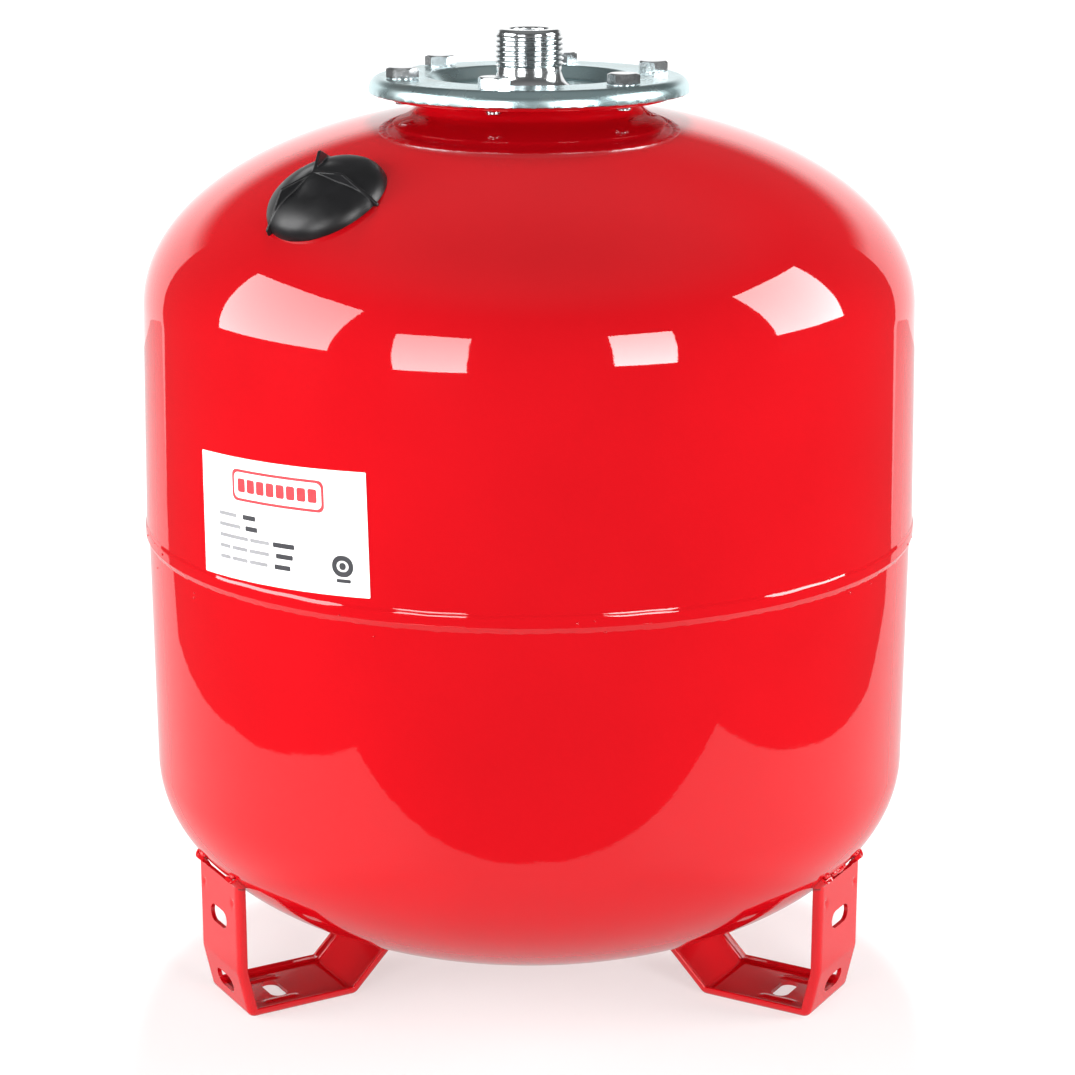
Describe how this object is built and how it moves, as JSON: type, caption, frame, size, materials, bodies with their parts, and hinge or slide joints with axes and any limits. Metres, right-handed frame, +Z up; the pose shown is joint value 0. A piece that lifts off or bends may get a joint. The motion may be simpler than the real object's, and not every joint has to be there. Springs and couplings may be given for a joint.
{
  "type": "expansion vessel",
  "caption": "Upright steel expansion vessel on three pressed feet, with a hanging rubber membrane, a bolted counter flange with a threaded nipple, and an air valve under a cover.",
  "frame": {"origin": "on the vessel's axis, on the floor under its feet", "axes": "+Z up along the vessel's axis towards the threaded nipple; -Y is the front, midway between the two front feet; +X is to the right"},
  "size_m": [0.3672, 0.3672, 0.4495],
  "materials": {
    "red_paint": "very glossy red powder coat",
    "zinc_plate": "bright blue zinc plating",
    "bolt_zinc": "bright zinc plating",
    "valve_nickel": "nickel plating",
    "valve_brass": "machined brass",
    "black_plastic": "satin moulded",
    "butyl_rubber": "matt",
    "label_film": "satin white film"
  },
  "bodies": {
    "vessel": {"upper_shell": "red_paint", "lower_shell": "red_paint", "seam_weld": "red_paint", "neck_ring": "red_paint", "membrane": "butyl_rubber", "counter_flange": "zinc_plate", "connection_nipple": "zinc_plate", "flange_bolt_1": "bolt_zinc", "flange_bolt_2": "bolt_zinc", "flange_bolt_3": "bolt_zinc", "flange_bolt_4": "bolt_zinc", "flange_bolt_5": "bolt_zinc", "flange_bolt_6": "bolt_zinc", "valve_body": "valve_nickel", "valve_core": "valve_brass", "foot_left": "red_paint", "foot_right": "red_paint", "foot_rear": "red_paint", "label": "label_film"},
    "cover": {"valve_cover": "black_plastic"},
    "pin": {"valve_pin": "valve_brass"}
  },
  "joints": [
    {"name": "cover_pull", "type": "slide", "parent": "vessel", "child": "cover", "axis": [-0.3228, -0.3807, 0.8665], "range_m": [0, 0.045]},
    {"name": "pin_press", "type": "slide", "parent": "vessel", "child": "pin", "axis": [0.3228, 0.3807, -0.8665], "range_m": [0, 0.0015], "stiffness_N_per_m": 600}
  ]
}
